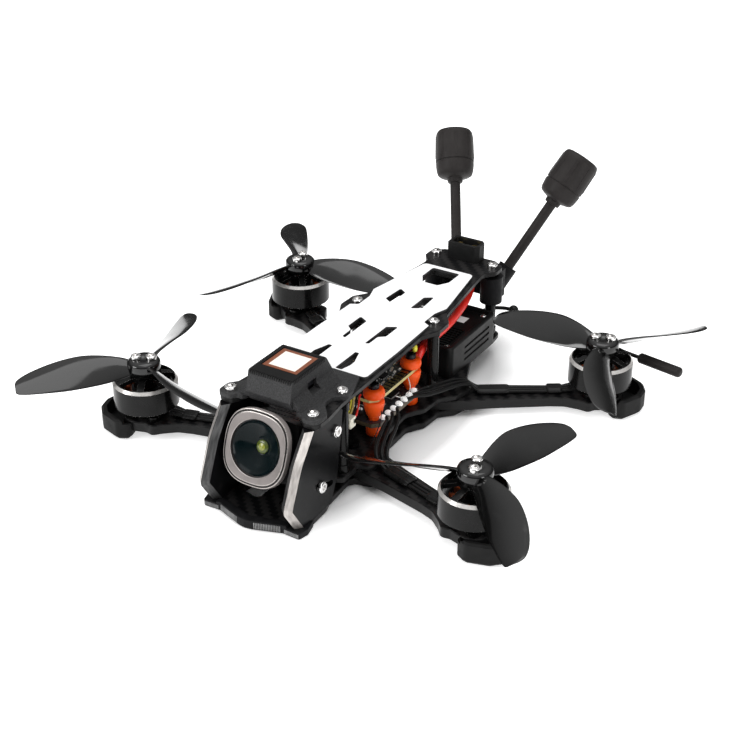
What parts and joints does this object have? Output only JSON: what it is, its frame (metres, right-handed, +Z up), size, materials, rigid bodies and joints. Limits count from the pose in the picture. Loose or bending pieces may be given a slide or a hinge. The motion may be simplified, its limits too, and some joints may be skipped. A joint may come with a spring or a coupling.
{
  "type": "quadcopter drone",
  "caption": "Small freestyle quadcopter with a carbon plate frame, tilting nose camera, electronics stack, bare motors with three-blade propellers and twin rear antennas.",
  "frame": {"origin": "midway between the four motor axes, level with the underside of the floor plate", "axes": "+Z up, -Y towards the nose and camera, +X towards the drone's own left side"},
  "size_m": [0.1985, 0.2006, 0.0757],
  "materials": {
    "carbon": "woven carbon fibre laminate, satin",
    "white_sheet": "smooth white sheet",
    "soft_black": "printed flexible plastic, fine layer lines",
    "cheek_metal": "black anodised with bright bevels",
    "housing_grey": "fine textured moulding",
    "gps_patch": "ceramic patch with a copper border",
    "camera_black": "black moulding",
    "bezel_grey": "satin warm grey",
    "lens_glass": "coated camera glass",
    "screw_steel": "bright steel",
    "black_steel": "black oxide screws",
    "standoff_metal": "black anodised pillar",
    "board_cream": "black solder mask, cream edge",
    "board_black": "black solder mask",
    "chips": "chips and plated pads",
    "solder": "solder beads and chips",
    "orange_rubber": "soft orange mounts",
    "capacitor_sleeve": "dark red sleeve",
    "plug_white": "white plug with pale wires",
    "vtx_metal": "matte black box",
    "connector_black": "moulded nylon",
    "gold": "gold plated contacts",
    "wire_red": "red silicone",
    "wire_black": "black silicone",
    "sleeve_black": "black heat-shrink",
    "antenna_grey": "satin dark grey",
    "motor_base": "black anodised base",
    "winding": "enamelled copper windings",
    "bearing_steel": "ground steel",
    "bell_metal": "black anodised with bright chamfers",
    "propeller_gloss": "glossy black polycarbonate"
  },
  "bodies": {
    "frame": {"antenna_mount": "soft_black", "arm_front_left": "carbon", "arm_front_right": "carbon", "arm_guard_front_left": "soft_black", "arm_guard_front_right": "soft_black", "arm_guard_rear_left": "soft_black", "arm_guard_rear_right": "soft_black", "arm_rear_left": "carbon", "arm_rear_right": "carbon", "battery_connector": "connector_black", "battery_lead_black": "wire_black", "battery_lead_red": "wire_red", "battery_pad": "white_sheet", "camera_cheek_left": "cheek_metal", "camera_cheek_right": "cheek_metal", "camera_plug": "plug_white", "capacitor": "capacitor_sleeve", "connector_pins": "gold", "controller_parts": "chips", "flight_controller": "board_cream", "frame_screws": "black_steel", "front_bumper": "soft_black", "gps_antenna": "gps_patch", "gps_housing": "housing_grey", "grommets": "orange_rubber", "lead_sleeves": "sleeve_black", "lower_plate": "carbon", "main_plate": "carbon", "motor_bases": "motor_base", "motor_bearings": "bearing_steel", "motor_leads": "wire_black", "receiver_antenna": "wire_black", "receiver_antenna_tip": "antenna_grey", "roof_screws": "screw_steel", "speed_controller": "board_black", "speed_parts": "solder", "stack_bolts": "black_steel", "standoffs": "standoff_metal", "stators": "winding", "top_plate": "carbon", "video_antenna_caps": "antenna_grey", "video_antenna_stems": "antenna_grey", "vtx_case": "vtx_metal"},
    "camera": {"camera_body": "camera_black", "camera_bezel": "bezel_grey", "camera_lens": "lens_glass", "camera_screws": "black_steel"},
    "rotor_front_left": {"motor_bell_front_left": "bell_metal", "propeller_front_left": "propeller_gloss", "prop_screws_front_left": "screw_steel"},
    "rotor_front_right": {"motor_bell_front_right": "bell_metal", "propeller_front_right": "propeller_gloss", "prop_screws_front_right": "screw_steel"},
    "rotor_rear_left": {"motor_bell_rear_left": "bell_metal", "propeller_rear_left": "propeller_gloss", "prop_screws_rear_left": "screw_steel"},
    "rotor_rear_right": {"motor_bell_rear_right": "bell_metal", "propeller_rear_right": "propeller_gloss", "prop_screws_rear_right": "screw_steel"}
  },
  "joints": [
    {"name": "camera_tilt", "type": "hinge", "parent": "frame", "child": "camera", "pos_m": [0, -0.0567, 0.0292], "axis": [-1, 0, 0], "range_deg": [-20, 5]},
    {"name": "spin_front_left", "type": "hinge", "parent": "frame", "child": "rotor_front_left", "pos_m": [0.0668, -0.0502, 0], "axis": [0, 0, 1], "continuous": true},
    {"name": "spin_front_right", "type": "hinge", "parent": "frame", "child": "rotor_front_right", "pos_m": [-0.0668, -0.0502, 0], "axis": [0, 0, 1], "continuous": true},
    {"name": "spin_rear_left", "type": "hinge", "parent": "frame", "child": "rotor_rear_left", "pos_m": [0.0668, 0.0502, 0], "axis": [0, 0, 1], "continuous": true},
    {"name": "spin_rear_right", "type": "hinge", "parent": "frame", "child": "rotor_rear_right", "pos_m": [-0.0668, 0.0502, 0], "axis": [0, 0, 1], "continuous": true}
  ]
}
